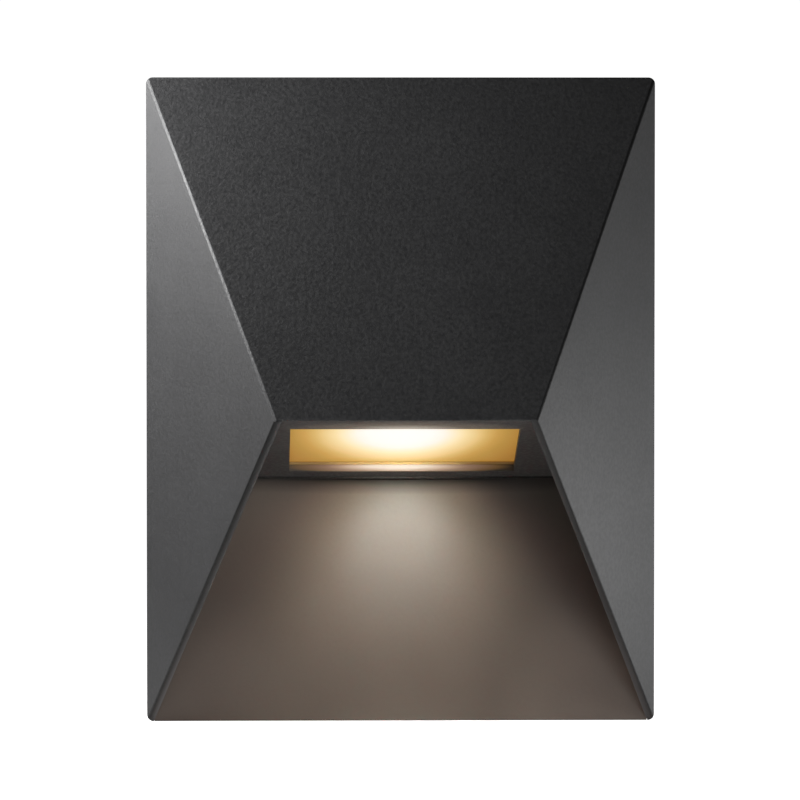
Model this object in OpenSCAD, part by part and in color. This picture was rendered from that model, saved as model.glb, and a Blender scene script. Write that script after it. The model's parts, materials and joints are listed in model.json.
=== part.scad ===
// Outdoor wall light with a folded, roof-shaped housing that throws its light down the wall.
// Millimetres. The wall is the plane y = 0, the light stands in front of it at y < 0, +Z is up.
// The origin is the middle of the wall face. "Depth" means the distance in front of the wall.

/* [Housing] */
// Width of the housing across the wall
body_w = 150; // [140:1:200]
// Height of the housing
body_h = 190; // [180:1:240]
// Projection of the ridge from the wall
body_d = 70; // [67:1:90]
// Depth of the straight rim next to the wall
rim_d = 8; // [7:0.5:10]
// Width of the ridge at the front
ridge_w = 75; // [72:1:100]
// How far the ridge lies below mid-height
ridge_drop = 3.4; // [0:0.2:12]
// Wall thickness of the casting
wall_t = 1.8; // [1.4:0.1:2.4]
// Radius of the outline's four corners
corner_r = 2; // [1:0.2:4]
// Gap between the housing's back edge and the wall
shadow_gap = 1; // [0.5:0.1:1.8]

/* [Light window] */
// Angle of the window panel from level, falling towards the wall
panel_a = 17.8; // [12:0.2:20]
// Thickness of the window panel
panel_t = 2; // [1.6:0.1:2.6]
// Width of the window opening
window_w = 66; // [50:1:68]
// Width of the panel's front border, from the ridge to the opening
border_front = 9.6; // [9:0.2:12]
// Width of the panel's rear border, from the opening to the seal on the back plate
border_back = 6.2; // [6:0.2:12]
// Thickness of the glass
glass_t = 4; // [3:0.5:5]
// How far the glass lies over the panel on each side of the opening
glass_lap = 3; // [2:0.2:3.2]
// Thickness of the silicone seal under the glass
glass_seal_t = 1; // [0.8:0.1:1.4]
// Thickness of the frame that holds the glass down
retainer_t = 1.5; // [1:0.1:2]

/* [Back plate] */
// Thickness of the back plate's face and skirt
plate_t = 2; // [1.6:0.1:3]
// Gap between the back plate's edge and the housing's rim
plate_gap = 0.4; // [0.3:0.1:0.8]
// Thickness of the foam seal on the wall
wall_seal_t = 2; // [1:0.2:3]
// Width of the foam seal on the wall
wall_seal_w = 5; // [4:0.5:8]
// Thickness of the silicone seal between plate and housing
shell_seal_t = 2; // [1.4:0.2:2.4]
// Width of the silicone seal between plate and housing
shell_seal_w = 3.4; // [2.8:0.2:4]
// Distance of the sealing rib from the housing's side and top
rib_inset = 9; // [8.4:0.2:12]
// Spacing of the two wall screw slots
fixing_spacing = 100; // [80:1:104]
// Width of a wall screw slot
slot_w = 5.2; // [4.2:0.2:6]
// Length of a wall screw slot
slot_l = 10; // [8:0.5:14]
// Sideways place of the cable entry
cable_x = -40; // [-46:1:-34]
// Height of the cable entry
cable_z = 42; // [36:1:50]
// Radius of the cable entry's bore in the grommet
cable_r = 4; // [3:0.25:5]

/* [Lamp] */
// Radius of the plug-in capsule lamp
lamp_r = 8; // [6.5:0.25:8.5]
// Length of the lamp in front of its holder
lamp_l = 38; // [34:1:40]
// Length of the lamp's base collar
lamp_base_l = 8.5; // [7:0.5:10]
// Spacing of the lamp's two pins
pin_spacing = 9; // [8:0.5:10]
// Length of the pins
pin_l = 8; // [6:0.5:9]
// Free way for pulling the lamp out of its holder
lamp_travel = 11; // [9:0.5:12]

/* [Lampholder] */
// Width of the ceramic lampholder
holder_w = 17; // [15:0.5:18]
// Thickness of the ceramic lampholder
holder_b = 14; // [12:0.5:15]
// Length of the ceramic lampholder along the lamp
holder_l = 13; // [12:0.5:14]
// Thickness of the bracket's sheet steel
bracket_t = 1.5; // [1:0.1:2]
// Width of the bracket
bracket_w = 30; // [28:1:36]

/* [Terminal block] */
// Spacing of the three terminals
pole_pitch = 8; // [7.5:0.5:9]
// Sideways place of the terminal block's middle
block_x = 41; // [38:1:43]
// Height of the terminal block's middle
block_z = 27; // [24:1:32]
// Height of the terminal block's body
block_h = 18; // [16:1:22]
// Depth of the terminal block's body
block_d = 14; // [12:0.5:15]

/* [Lock screws] */
// Radius of the two socket set screws
lock_r = 2; // [1.5:0.25:2.5]
// Length of the two socket set screws
lock_l = 6; // [5:0.5:8]
// Height of the two set screws
lock_z = 20; // [10:1:40]

/* [Hidden] */
$fn = 64;

// Clearances
thread_gap = 0.05;   // radial, between a screw and its threaded hole
seal_gap = 0.2;      // between the silicone seal and the housing
cut = 1;             // how far a cutting solid runs past what it cuts

// Housing outline
half_w = body_w / 2;
half_h = body_h / 2;
face_run = body_d - rim_d;
face_rise = half_h + ridge_drop;
face_a = atan2(face_run, face_rise);                 // top face from the wall
side_a = atan2(half_w - ridge_w / 2, face_run);      // side face from the line of sight
wedge_a = 90 - face_a + panel_a;                     // between top face and window panel
ridge = [body_d, -ridge_drop];                       // the ridge, as [depth, height]

// Directions in the upright middle section, as [depth, height]
along_face = [sin(face_a), -cos(face_a)];            // down the top face, to the ridge
into_face = [-cos(face_a), -sin(face_a)];            // from the top face into the housing
along_panel = [-cos(panel_a), -sin(panel_a)];        // from the ridge to the wall
into_panel = [-sin(panel_a), cos(panel_a)];          // from the window panel into the housing

// Points of the middle section: up the top face, or back along the window panel
function on_face(up, inside = 0) = ridge - up * along_face + inside * into_face;
function on_panel(back, inside = 0) = ridge + back * along_panel + inside * into_panel;

// Height of the window panel, depth of the top face and half width between the side faces
function panel_z(depth, inside = 0) = -ridge_drop - (body_d - depth) * tan(panel_a) + inside / cos(panel_a);
function face_depth(z, inside = 0) = body_d - (z + ridge_drop) * tan(face_a) - inside / cos(face_a);
function side_x(depth, inside = 0) = ridge_w / 2 + (body_d - depth) * tan(side_a) - inside / cos(side_a);

// Back plate
plate_hollow = 6;                                    // from the wall to the back of the plate's face
plate_front = plate_hollow + plate_t;
plate_w = body_w - 2 * (wall_t + plate_gap);
plate_h = body_h - (wall_t + plate_gap);              // the plate closes the housing's lower end
plate_mid = -(wall_t + plate_gap) / 2;
fixing_bar_edge = 5;                                 // material round the screw slots
fixing_bar_h = slot_w + 2 * fixing_bar_edge;
fixing_bar_w = fixing_spacing + slot_l + 2 * fixing_bar_edge;
seal_front = plate_front + shell_seal_t;
rib_back = seal_front + seal_gap;
rib_x = half_w - rib_inset;
rib_z = half_h - rib_inset;
panel_back_z = panel_z(rib_back, panel_t / 2);

// Window, measured back from the ridge along the panel
window_start = border_front;
window_end = (body_d - rib_back) / cos(panel_a) - border_back;
window_l = window_end - window_start;
window_mid = (window_start + window_end) / 2;
glass_w = window_w + 2 * glass_lap;
glass_l = window_l + 2 * glass_lap;
glass_low = panel_t + glass_seal_t;
glass_top = glass_low + glass_t;
retainer_top = glass_top + retainer_t;
retainer_hold = 0.6;                                 // how far the frame reaches past the glass
boss_r = 3;
boss_clear = 3;                                      // between the glass and the retainer's bosses
boss_x = glass_w / 2 + boss_clear + boss_r;
boss_rows = [window_start + window_l * 0.36, window_end - 1];
clearance_r = 0.2;                                   // radial, of a hole that a screw only passes through
screw_r = 1.5;
screw_head_r = 2.75;
screw_head_h = 2;

// Reflector
reflector_t = 0.8;
reflector_gap = 1.2;
reflector_in = wall_t + reflector_gap;
reflector_low = retainer_top + reflector_t;
reflector_x = window_w / 2 + 3.6;                    // outer face of a cheek, clear of the screw heads
reflector_up = 58;                                   // length up the top face
reflector_back = window_end;                         // length back along the panel

// Lamp: its axis runs parallel to the top face, its tip points at the front of the window
lamp_to_roof = 3.2;
tip_clear = 3;                                       // left over the glass when the lamp is pulled out
lamp_in = reflector_in + reflector_t + lamp_to_roof + lamp_r;
tip_above_panel = glass_top + lamp_travel + tip_clear;
tip_up = (tip_above_panel + lamp_in * cos(wedge_a)) / sin(wedge_a);
seat_up = tip_up + lamp_l;
lamp_seat = on_face(seat_up, lamp_in);
seat_gap = 0.3;                                      // between the lamp's base and the holder
glass_wall = 1;
pin_wire_r = 0.4;
pin_loop_r = 0.8;
led_w = 8;
led_board_l = 22;
led_board_t = 1;
chip = [3.5, 0.8, 2.8];

// Lampholder
ear_w = 30;
ear_b = 10;
ear_l = 3;
ear_screw_x = 11.8;
contact_t = 0.4;
bracket_root_t = (plate_front + bracket_t - lamp_seat[0] + (holder_l + bracket_t / 2) * along_face[0])
    / into_face[0];
bracket_root_z = lamp_seat[1] - (holder_l + bracket_t / 2) * along_face[1] + bracket_root_t * into_face[1];
bracket_flange_h = 24;
bracket_screw_up = 15;                               // from the bend to the bracket's screws
bracket_screw_z = bracket_root_z + bracket_screw_up;
bracket_screw_x = 9;
bracket_screw_r = 2;
bracket_head_r = 3.6;
bracket_head_h = 2.4;

// Terminal block
block_w = 2 * pole_pitch + 12;
block_clear = 4;                                     // between the block and the reflector's cheek
poles = [-1, 0, 1];
clamp_w = 5;
clamp_l = block_h - 4;
clamp_depth = plate_front + block_d / 2;
clamp_bore = 1.5;
terminal_screw_r = 1.25;
terminal_rows = [-clamp_l / 4, clamp_l / 4];
block_screw_xs = [-pole_pitch / 2, pole_pitch / 2];
block_screw_r = 1.2;
block_head_r = 1.4;

// Earth terminal
earth_inset = 16.8;                                  // from the plate's side to the earth screw
earth_x = plate_w / 2 - earth_inset;
earth_z = 56;
earth_boss_d = 5;
earth_boss_r = 5;
earth_screw_r = 2;
earth_head_r = 3.8;
lug_t = 0.8;
washer_t = 0.8;
lug_depth = plate_front + earth_boss_d + lug_t / 2;

// Wires
wire_r = 1;
wire_bare_r = 0.6;
wire_sides = 10;
wire_steps = 18;
wire_entry = 3;                                      // how far a wire's sleeve goes into the block
wire_off = 3;                                        // of the two wires from the holder's middle
live_reach = 14;                                     // how far each wire runs on before it bends
neutral_reach = 19;
earth_reach = 6;

// Lock screws
lock_boss_w = 10;
lock_boss_in = half_w - 6;                           // inner face of the boss
lock_depth = shadow_gap + 3.6;
lock_sink = 0.3;                                     // how deep the screw's socket face lies
lock_tip = half_w - lock_sink - lock_l;
notch_floor = lock_tip - thread_gap;

// Plain helpers

// A box between two depths, centred on x and z
module depth_box(w, h, d0, d1, x = 0, z = 0) {
    translate([x - w / 2, -d1, z - h / 2]) cube([w, d1 - d0, h]);
}

// A cylinder that runs straight out from the wall between two depths
module depth_rod(r, d0, d1, x = 0, z = 0, sides = $fn) {
    translate([x, -d0, z]) rotate([90, 0, 0]) cylinder(h = d1 - d0, r = r, $fn = sides);
}

module rounded_rect(w, h, r) {
    square([w - 2 * r, h], center = true);
    square([w, h - 2 * r], center = true);
    for (sx = [-1, 1], sy = [-1, 1]) translate([sx * (w / 2 - r), sy * (h / 2 - r)]) circle(r);
}

module slot_2d(w, l) {
    square([l - w, w], center = true);
    for (s = [-1, 1]) translate([s * (l - w) / 2, 0]) circle(w / 2);
}

// A flat outline in x and z, thick between two depths
module depth_plate(d0, d1, x = 0, z = 0) {
    translate([x, -d0, z]) rotate([90, 0, 0]) linear_extrude(d1 - d0) children();
}

// A solid with one upright section, given as [depth, height] points, all along x
module across(points, w) {
    translate([-w / 2, 0, 0]) rotate([90, 0, 90]) linear_extrude(w) polygon([for (p = points) [-p[0], p[1]]]);
}

// Local frames. On the panel: y runs from the ridge to the wall, z into the housing.
module on_panel_frame() {
    translate([0, -body_d, -ridge_drop]) rotate([-panel_a, 0, 0]) children();
}

// On the top face: y runs up from the ridge, z points out of the housing
module on_face_frame() {
    translate([0, -body_d, -ridge_drop]) rotate([90 - face_a, 0, 0]) children();
}

// On the lamp: z runs from the holder's face to the lamp's tip, y points at the top face
module on_lamp_frame() {
    translate([0, -lamp_seat[0], lamp_seat[1]]) rotate([180 - face_a, 0, 0]) children();
}

// Two rows of two places on the panel for the retainer's screws
module at_bosses() {
    on_panel_frame() for (sx = [-1, 1], row = boss_rows) translate([sx * boss_x, row, 0]) children();
}

// A pan head screw along z: the head's underside at z = 0, the shank below, a cross recess on top
module pan_screw(r, l, head_r, head_h) {
    translate([0, 0, -l]) cylinder(h = l, r = r - thread_gap);
    difference() {
        cylinder(h = head_h, r = head_r);
        for (turn = [0, 90]) rotate([0, 0, turn])
            translate([-head_r * 0.6, -0.35, head_h * 0.45]) cube([head_r * 1.2, 0.7, head_h]);
    }
}

// The same screw driven from the front towards the wall, its head's underside at a depth
module wall_screw(r, l, head_r, head_h, d, x, z) {
    translate([x, -d, z]) rotate([90, 0, 0]) pan_screw(r, l, head_r, head_h);
}

// Housing

// The housing's outer form: an upright section, a plan and a front outline cut into each other
module housing_form() {
    intersection() {
        across([
            [shadow_gap, half_h], [rim_d, half_h], ridge, [rim_d, -half_h], [shadow_gap, -half_h]
        ], body_w);
        translate([0, 0, -half_h]) linear_extrude(body_h) polygon([
            [-half_w, -shadow_gap], [-half_w, -rim_d], [-ridge_w / 2, -body_d],
            [ridge_w / 2, -body_d], [half_w, -rim_d], [half_w, -shadow_gap]
        ]);
        depth_plate(0, body_d + cut) rounded_rect(body_w, body_h, corner_r);
    }
}

// The space inside the side walls
module between_sides() {
    inner = half_w - wall_t;
    bend = body_d - (inner - ridge_w / 2 + wall_t / cos(side_a)) / tan(side_a);
    front = body_d + cut;
    translate([0, 0, -half_h]) linear_extrude(body_h) polygon([
        [-inner, 0], [-inner, -bend], [-side_x(front, wall_t), -front],
        [side_x(front, wall_t), -front], [inner, -bend], [inner, 0]
    ]);
}

// The hollow under the top face, which runs on below the window panel and out at the front and below
module under_top() {
    roof = half_h - wall_t;
    across([
        [0, roof], [face_depth(roof, wall_t), roof],
        on_face((panel_t + wall_t * cos(wedge_a)) / sin(wedge_a), wall_t),
        on_panel(-cut), [body_d + cut, -half_h - cut], [0, -half_h - cut]
    ], body_w);
}

// The window panel, from the ridge back to the sealing edge, without its opening
module panel_slab() {
    intersection() {
        across([
            on_panel(-2 * cut), on_panel(-2 * cut, panel_t),
            [rib_back, panel_z(rib_back, panel_t)], [rib_back, panel_z(rib_back)]
        ], body_w);
        housing_form();
    }
}

// Ribs that press on the seal along both sides and the top
module seal_rib() {
    intersection() {
        depth_plate(rib_back, body_d) difference() {
            rounded_rect(2 * rib_x + wall_t, 2 * rib_z + wall_t, corner_r + 1);
            rounded_rect(2 * rib_x - wall_t, 2 * rib_z - wall_t, corner_r);
        }
        across([
            [0, panel_z(0)], [0, half_h], [rim_d, half_h], ridge
        ], body_w);
        housing_form();
    }
}

module lock_boss(side) {
    intersection() {
        translate([side > 0 ? lock_boss_in : -half_w, -rim_d - 8, lock_z - lock_boss_w / 2])
            cube([half_w - lock_boss_in, rim_d + 8 - shadow_gap, lock_boss_w]);
        housing_form();
    }
}

module housing_shell() {
    color("#3b3b3d") difference() {
        union() {
            difference() {
                housing_form();
                intersection() {
                    between_sides();
                    under_top();
                }
            }
            panel_slab();
            seal_rib();
            for (side = [-1, 1]) lock_boss(side);
            at_bosses() translate([0, 0, panel_t / 2]) cylinder(h = glass_top - panel_t / 2, r = boss_r);
        }
        on_panel_frame() translate([-window_w / 2, window_start, -cut])
            cube([window_w, window_l, panel_t + 2 * cut]);
        at_bosses() translate([0, 0, panel_t]) cylinder(h = glass_top, r = screw_r);
        for (side = [-1, 1])
            translate([side * (lock_boss_in - cut), -lock_depth, lock_z]) rotate([0, side * 90, 0])
                cylinder(h = half_w - lock_boss_in + 2 * cut, r = lock_r);
    }
}

module window_glass() {
    color("#f3e6c8") on_panel_frame()
        translate([-glass_w / 2, window_start - glass_lap, glass_low]) cube([glass_w, glass_l, glass_t]);
}

// A flat ring under the glass with a low lip round its edge
module glass_seal() {
    lip = 0.8;
    lip_gap = 0.1;
    outer = lip + lip_gap;
    color("#d8d8d2") on_panel_frame() translate([0, window_mid, panel_t]) difference() {
        linear_extrude(glass_seal_t + glass_t / 2)
            square([glass_w + 2 * outer, glass_l + 2 * outer], center = true);
        translate([0, 0, glass_seal_t]) linear_extrude(glass_t)
            square([glass_w + 2 * lip_gap, glass_l + 2 * lip_gap], center = true);
        translate([0, 0, -cut]) linear_extrude(glass_t)
            square([window_w + 0.4, window_l + 0.4], center = true);
    }
}

module glass_retainer() {
    ear = 2 * boss_r + 1;
    color("#b9bcc0") on_panel_frame() difference() {
        union() {
            translate([0, window_mid, glass_top]) linear_extrude(retainer_t)
                square([glass_w + 2 * retainer_hold, glass_l + 2 * retainer_hold - 1], center = true);
            for (sx = [-1, 1], row = boss_rows)
                translate([sx * (boss_x / 2 + glass_w / 4), row, glass_top]) linear_extrude(retainer_t)
                    square([boss_x - glass_w / 2 + ear, ear], center = true);
        }
        translate([0, window_mid, glass_top - cut]) linear_extrude(retainer_t + 2 * cut)
            square([window_w, window_l], center = true);
        for (sx = [-1, 1], row = boss_rows) translate([sx * boss_x, row, glass_top - cut])
            cylinder(h = retainer_t + 2 * cut, r = screw_r + clearance_r);
    }
}

// A bent sheet over the lamp: a roof parallel to the top face, two cheeks and four feet
module reflector() {
    roof_start = (reflector_low + (reflector_in + reflector_t) * cos(wedge_a)) / sin(wedge_a);
    foot = 2 * boss_r + 1;
    cheek_back = plate_front + block_d + block_clear;
    color("#d9dadc") {
        difference() {
            union() {
                intersection() {
                    on_face_frame() translate([-reflector_x, 0, -reflector_in - reflector_t])
                        cube([2 * reflector_x, reflector_up, reflector_t]);
                    across([
                        on_panel(0, retainer_top), on_panel(body_d, retainer_top),
                        [rib_back, half_h], [body_d, half_h]
                    ], body_w);
                }
                for (sx = [-1, 1]) translate([sx * (reflector_x - reflector_t / 2), 0, 0]) across([
                    on_face(roof_start - 1, reflector_in + reflector_t / 2),
                    on_face(reflector_up, reflector_in + reflector_t / 2),
                    [cheek_back, on_face(reflector_up, reflector_in)[1] - 5],
                    [cheek_back, block_z - block_h / 2 - block_clear],
                    on_panel(reflector_back, retainer_top), on_panel(window_start, retainer_top)
                ], reflector_t);
                on_panel_frame() for (sx = [-1, 1], row = boss_rows)
                    translate([sx * (reflector_x + boss_x + foot / 2) / 2, row, retainer_top])
                        linear_extrude(reflector_t)
                            square([boss_x + foot / 2 - reflector_x + reflector_t, foot], center = true);
            }
            at_bosses() translate([0, 0, retainer_top - cut])
                cylinder(h = reflector_t + 2 * cut, r = screw_r + clearance_r);
        }
    }
}

module retainer_screws() {
    color("#c4c6c9") at_bosses() translate([0, 0, reflector_low])
        pan_screw(screw_r, reflector_low - panel_t - 0.5, screw_head_r, screw_head_h);
}

// A set screw with a hexagon socket, its outer face just below the rim's side
module lock_screw(side) {
    socket_r = lock_r * 0.58;
    color("#4a4b4d") translate([side * (half_w - lock_sink), -lock_depth, lock_z])
        rotate([0, -side * 90, 0]) difference() {
            cylinder(h = lock_l, r = lock_r - thread_gap);
            translate([0, 0, -cut]) cylinder(h = cut + lock_l * 0.4, r = socket_r, $fn = 6);
        }
}

module left_lock_screw() { lock_screw(-1); }
module right_lock_screw() { lock_screw(1); }

// Back plate and what it carries

// Blocks in the plate's edge that take the lock screws' notches
module notch_block(side) {
    w = plate_w / 2 - notch_floor + plate_t;
    depth_box(w, lock_boss_w + 2 * plate_t + 2 * plate_gap, wall_seal_t, plate_front,
        side * (plate_w / 2 - w / 2), lock_z);
}

module notch(side) {
    w = plate_w / 2 - notch_floor + cut;
    depth_box(w, lock_boss_w + 2 * plate_gap, -cut, plate_front + cut,
        side * (notch_floor + w / 2), lock_z);
}

// What the bevels take off the plate's edge, so that it stays clear of the sloping faces
module plate_bevels() {
    inside = wall_t + plate_gap;
    across([
        [face_depth(half_h, inside), half_h], [face_depth(0, inside), 0], [body_d, 0], [body_d, half_h]
    ], body_w);
    for (side = [-1, 1]) translate([0, 0, -half_h]) linear_extrude(body_h) polygon([
        [side * side_x(0, inside), 0], [side * side_x(body_d, inside), -body_d],
        [side * body_w, -body_d], [side * body_w, 0]
    ]);
}

module back_plate() {
    color("#4a4643") difference() {
        union() {
            difference() {
                depth_plate(wall_seal_t, plate_front, 0, plate_mid) rounded_rect(plate_w, plate_h, corner_r / 2);
                depth_box(plate_w - 2 * plate_t, plate_h - 2 * plate_t, -cut, plate_hollow, 0, plate_mid);
            }
            depth_box(fixing_bar_w, fixing_bar_h, 0, plate_front - plate_t / 2);
            for (side = [-1, 1]) notch_block(side);
            for (sx = [-1, 1])
                depth_rod(bracket_screw_r + 2, wall_seal_t, plate_hollow + plate_t / 2, sx * bracket_screw_x, bracket_screw_z);
            for (x = block_screw_xs)
                depth_rod(block_screw_r + 2, wall_seal_t, plate_hollow + plate_t / 2, block_x + x, block_z);
            depth_rod(earth_boss_r, wall_seal_t, plate_front + earth_boss_d, earth_x, earth_z);
        }
        for (sx = [-1, 1]) depth_plate(-cut, plate_front + cut, sx * fixing_spacing / 2)
            slot_2d(slot_w, slot_l);
        depth_rod(2 * cable_r, -cut, plate_front + cut, cable_x, cable_z);
        for (sx = [-1, 1])
            depth_rod(bracket_screw_r, -cut, plate_front + cut, sx * bracket_screw_x, bracket_screw_z);
        for (x = block_screw_xs)
            depth_rod(block_screw_r, wall_seal_t - cut, plate_front + cut, block_x + x, block_z);
        depth_rod(earth_screw_r, wall_seal_t - cut, plate_front + earth_boss_d + cut, earth_x, earth_z);
        for (side = [-1, 1]) notch(side);
        plate_bevels();
    }
}

// A foam ring under the plate's edge that runs round the two notches
module wall_gasket() {
    edge = 0.5;
    w = plate_w - 2 * edge;
    h = plate_h - 2 * edge;
    notch_h = lock_boss_w + 2 * plate_gap + 2 * edge;
    color("#2b2b2c") depth_plate(0, wall_seal_t) difference() {
        union() {
            translate([0, plate_mid]) difference() {
                square([w, h], center = true);
                square([w - 2 * wall_seal_w, h - 2 * wall_seal_w], center = true);
            }
            for (side = [-1, 1]) translate([side * (notch_floor + plate_t / 2 - wall_seal_w / 2), lock_z])
                square([wall_seal_w + plate_t, notch_h + 2 * wall_seal_w], center = true);
        }
        for (side = [-1, 1]) translate([side * (notch_floor - edge + body_w / 4), lock_z])
            square([body_w / 2, notch_h], center = true);
    }
}

// The seal follows the ribs at the sides and top, and the back edge of the window panel
module shell_seal() {
    top = rib_z + shell_seal_w / 2;
    low = panel_back_z - shell_seal_w / 2;
    w = 2 * rib_x + shell_seal_w;
    color("#3a3a3a") depth_plate(plate_front, seal_front, 0, (top + low) / 2) difference() {
        rounded_rect(w, top - low, corner_r + 1);
        square([w - 2 * shell_seal_w, top - low - 2 * shell_seal_w], center = true);
    }
}

module cable_grommet() {
    collar = 2 * cable_r + 2.5;
    lip = 1.6;
    color("#1f1f20") difference() {
        union() {
            depth_rod(2 * cable_r - thread_gap, plate_hollow - lip, plate_front + lip, cable_x, cable_z);
            depth_rod(collar, plate_front, plate_front + lip, cable_x, cable_z);
            depth_rod(collar, plate_hollow - lip, plate_hollow, cable_x, cable_z);
        }
        depth_rod(cable_r, 0, plate_front + lip + cut, cable_x, cable_z);
    }
}

// Terminal block: a moulded body with a tunnel and two screw wells for each pole
module terminal_block() {
    color("#e4e2da") difference() {
        depth_box(block_w, block_h, plate_front, plate_front + block_d, block_x, block_z);
        for (pole = poles) {
            x = block_x + pole * pole_pitch;
            depth_box(clamp_w + 0.2, clamp_l + 0.2, clamp_depth - clamp_w / 2 - 0.1,
                clamp_depth + clamp_w / 2 + 0.1, x, block_z);
            translate([x, -clamp_depth, block_z - block_h / 2 - cut])
                cylinder(h = block_h + 2 * cut, r = wire_r + 0.6);
            for (row = terminal_rows)
                depth_rod(terminal_screw_r + 0.7, clamp_depth, plate_front + block_d + cut, x, block_z + row);
        }
        for (x = block_screw_xs) {
            depth_rod(block_screw_r + 0.1, plate_front - cut, plate_front + block_d, block_x + x, block_z);
            depth_rod(block_head_r + 0.1, plate_front + block_d / 2, plate_front + block_d + cut,
                block_x + x, block_z);
        }
    }
}

module terminal_clamps() {
    color("#c9a24a") for (pole = poles) {
        x = block_x + pole * pole_pitch;
        difference() {
            depth_box(clamp_w, clamp_l, clamp_depth - clamp_w / 2, clamp_depth + clamp_w / 2, x, block_z);
            translate([x, -clamp_depth, block_z - block_h / 2]) cylinder(h = block_h, r = clamp_bore);
            for (row = terminal_rows)
                depth_rod(terminal_screw_r, clamp_depth, plate_front + block_d, x, block_z + row);
        }
    }
}

module terminal_screws() {
    grip = 0.1;
    start = clamp_depth + wire_bare_r + grip;
    head = 1.2;
    color("#c4c6c9") for (pole = poles, row = terminal_rows) {
        x = block_x + pole * pole_pitch;
        z = block_z + row;
        depth_rod(terminal_screw_r - thread_gap, start, clamp_depth + clamp_w / 2 + 1, x, z);
        difference() {
            depth_rod(terminal_screw_r + 0.5, clamp_depth + clamp_w / 2 + 1, clamp_depth + clamp_w / 2 + 1 + head, x, z);
            depth_box(2 * terminal_screw_r + 2, 0.5, clamp_depth + clamp_w / 2 + 1 + head / 2,
                clamp_depth + clamp_w / 2 + 2 + head, x, z);
        }
    }
}

module terminal_block_screws() {
    seat = plate_front + block_d / 2;
    color("#c4c6c9") for (x = block_screw_xs)
        wall_screw(block_screw_r, block_d / 2 + plate_t + 1, block_head_r, 1.2, seat, block_x + x, block_z);
}

// Earth terminal: a boss on the plate, the lug, a washer and a pan head screw
module earth_lug() {
    bore = earth_screw_r + clearance_r;
    tail = 7;
    color("#c9a24a") difference() {
        union() {
            depth_rod(earth_boss_r - 0.5, plate_front + earth_boss_d, plate_front + earth_boss_d + lug_t,
                earth_x, earth_z);
            depth_box(3, tail, plate_front + earth_boss_d, plate_front + earth_boss_d + lug_t,
                earth_x, earth_z - earth_boss_r + 0.5 - tail / 2 + 1);
        }
        depth_rod(bore, 0, body_d, earth_x, earth_z);
    }
}

module earth_washer() {
    inner = earth_screw_r + 0.1;
    outer = earth_head_r + 0.2;
    start = plate_front + earth_boss_d + lug_t;
    teeth = 12;
    color("#b9bcc0") difference() {
        depth_rod(outer, start, start + washer_t, earth_x, earth_z);
        depth_rod(inner, 0, body_d, earth_x, earth_z);
        for (k = [0 : teeth - 1]) translate([earth_x, 0, earth_z]) rotate([0, k * 360 / teeth, 0])
            depth_box(0.5, 0.9, start - cut, start + washer_t + cut, outer, 0);
    }
}

module earth_screw() {
    seat = plate_front + earth_boss_d + lug_t + washer_t;
    color("#c4c6c9") wall_screw(earth_screw_r, seat - wall_seal_t - 2, earth_head_r, 2.6, seat, earth_x, earth_z);
}

// Lampholder and bracket

module lampholder_bracket() {
    color("#b9bcc0") difference() {
        union() {
            depth_box(bracket_w, bracket_flange_h, plate_front, plate_front + bracket_t,
                0, bracket_root_z + bracket_flange_h / 2 - 1);
            intersection() {
                on_lamp_frame() translate([-bracket_w / 2, -bracket_root_t - 2, -holder_l - bracket_t])
                    cube([bracket_w, bracket_root_t + 2 + ear_b, bracket_t]);
                depth_box(bracket_w, body_h, plate_front, body_d);
            }
        }
        for (sx = [-1, 1]) {
            depth_rod(bracket_screw_r + clearance_r, 0, plate_front + bracket_t + cut,
                sx * bracket_screw_x, bracket_screw_z);
            on_lamp_frame() translate([sx * ear_screw_x, 0, -holder_l - bracket_t - cut])
                cylinder(h = bracket_t + 2 * cut, r = screw_r);
        }
    }
}

module bracket_screws() {
    color("#c4c6c9") for (sx = [-1, 1])
        wall_screw(bracket_screw_r, bracket_t + plate_front - wall_seal_t - 1, bracket_head_r, bracket_head_h,
            plate_front + bracket_t, sx * bracket_screw_x, bracket_screw_z);
}

// Slots for the lamp's pin loops, wide enough for the contact beside each
module pin_slots(deep) {
    for (sx = [-1, 1]) translate([sx * pin_spacing / 2, 0, -deep]) linear_extrude(deep + cut)
        square([2 * (pin_wire_r + contact_t) + 0.6, 2 * (pin_loop_r + pin_wire_r) + 0.6], center = true);
}

module lampholder() {
    color("#efece4") on_lamp_frame() difference() {
        union() {
            translate([0, 0, -holder_l]) linear_extrude(holder_l) rounded_rect(holder_w, holder_b, 3);
            translate([0, 0, -holder_l]) linear_extrude(ear_l) rounded_rect(ear_w, ear_b, 2.5);
        }
        pin_slots(holder_l - 2);
        for (sx = [-1, 1]) translate([sx * ear_screw_x, 0, -holder_l - cut])
            cylinder(h = ear_l + 2 * cut, r = screw_r + 0.1);
    }
}

// One leaf contact on the outer side of each pin
module holder_contacts() {
    color("#c9a24a") on_lamp_frame() for (sx = [-1, 1])
        translate([sx * (pin_spacing / 2 + pin_wire_r + contact_t / 2 + 0.05) - contact_t / 2, -1, -holder_l + 2])
            cube([contact_t, 2, holder_l - 4]);
}

module holder_screws() {
    color("#c4c6c9") on_lamp_frame() for (sx = [-1, 1])
        translate([sx * ear_screw_x, 0, -holder_l + ear_l])
            pan_screw(screw_r, ear_l + bracket_t + 1.5, screw_head_r, screw_head_h);
}

// Lamp

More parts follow.
